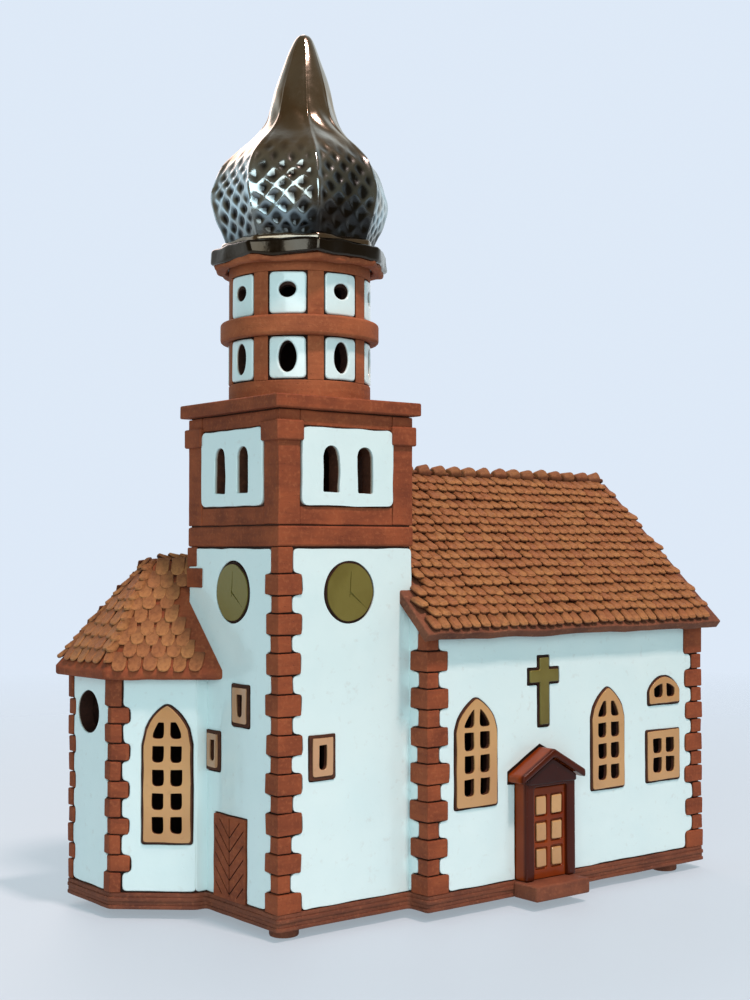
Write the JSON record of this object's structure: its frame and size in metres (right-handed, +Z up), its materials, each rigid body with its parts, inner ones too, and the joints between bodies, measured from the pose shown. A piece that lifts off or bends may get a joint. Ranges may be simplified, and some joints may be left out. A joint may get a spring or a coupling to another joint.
{
  "type": "ceramic christmas village house",
  "caption": "Hand built ceramic village church with an onion domed tower, tiled roofs and pierced windows, lit from inside by a removable tealight.",
  "frame": {"origin": "middle of the bounding box, at the underside of the feet", "axes": "+Z up, +X along the nave away from the tower, +Y to the rear, so the main door faces -Y"},
  "size_m": [0.2142, 0.1204, 0.2823],
  "materials": {
    "terracotta": "fired red clay, matt",
    "white_glaze": "white glossy glaze over red clay",
    "roof_tile": "fired clay, satin",
    "dome_glaze": "dark metallic glaze",
    "tan_glaze": "tan glossy glaze",
    "brown_glaze": "red brown glossy glaze",
    "gold_glaze": "olive gold glaze",
    "foil": "thin bright foil",
    "wax": "white wax, satin",
    "wick": "waxed cotton"
  },
  "bodies": {
    "house": {"feet": "terracotta", "floor_slab": "terracotta", "nave_roof_front": "terracotta", "nave_roof_rear": "terracotta", "choir_roof": "terracotta", "belfry_band": "terracotta", "belfry_cap_slab": "terracotta", "belfry_front_wall": "terracotta", "belfry_rear_wall": "terracotta", "belfry_left_wall": "terracotta", "belfry_right_wall": "terracotta", "belfry_capitals": "terracotta", "drum_shell": "terracotta", "drum_foot_ring": "terracotta", "drum_band": "terracotta", "drum_head_ring": "terracotta", "drum_posts": "terracotta", "tower_quoins": "terracotta", "nave_quoins": "terracotta", "choir_quoins": "terracotta", "door_step": "terracotta", "side_door": "terracotta", "tower_front_wall": "white_glaze", "tower_rear_wall": "white_glaze", "tower_left_wall": "white_glaze", "tower_right_wall": "white_glaze", "nave_front_wall": "white_glaze", "nave_rear_wall": "white_glaze", "nave_end_wall": "white_glaze", "nave_front_return": "white_glaze", "nave_left_gable": "white_glaze", "choir_stub_wall": "white_glaze", "choir_diagonal_wall": "white_glaze", "choir_end_wall": "white_glaze", "choir_rear_wall": "white_glaze", "nave_front_tiles": "roof_tile", "nave_rear_tiles": "roof_tile", "ridge_tiles": "roof_tile", "choir_diagonal_tiles": "roof_tile", "choir_end_tiles": "roof_tile", "choir_rear_tiles": "roof_tile", "dome_skirt": "dome_glaze", "onion_dome": "dome_glaze", "nave_window_left": "tan_glaze", "nave_window_right": "tan_glaze", "nave_window_lunette": "tan_glaze", "nave_window_square": "tan_glaze", "choir_window_frame": "tan_glaze", "tower_window_front": "tan_glaze", "tower_windows_left": "tan_glaze", "porch_frame": "brown_glaze", "main_door": "brown_glaze", "door_canopy": "brown_glaze", "clock_front": "gold_glaze", "clock_left": "gold_glaze", "wall_cross": "gold_glaze"},
    "tealight": {"tealight_cup": "foil", "tealight_wax": "wax", "wick_tab": "foil", "wick": "wick"}
  },
  "joints": [
    {"name": "tealight_slide", "type": "slide", "parent": "house", "child": "tealight", "axis": [0, 1, 0], "range_m": [0, 0.085]}
  ]
}
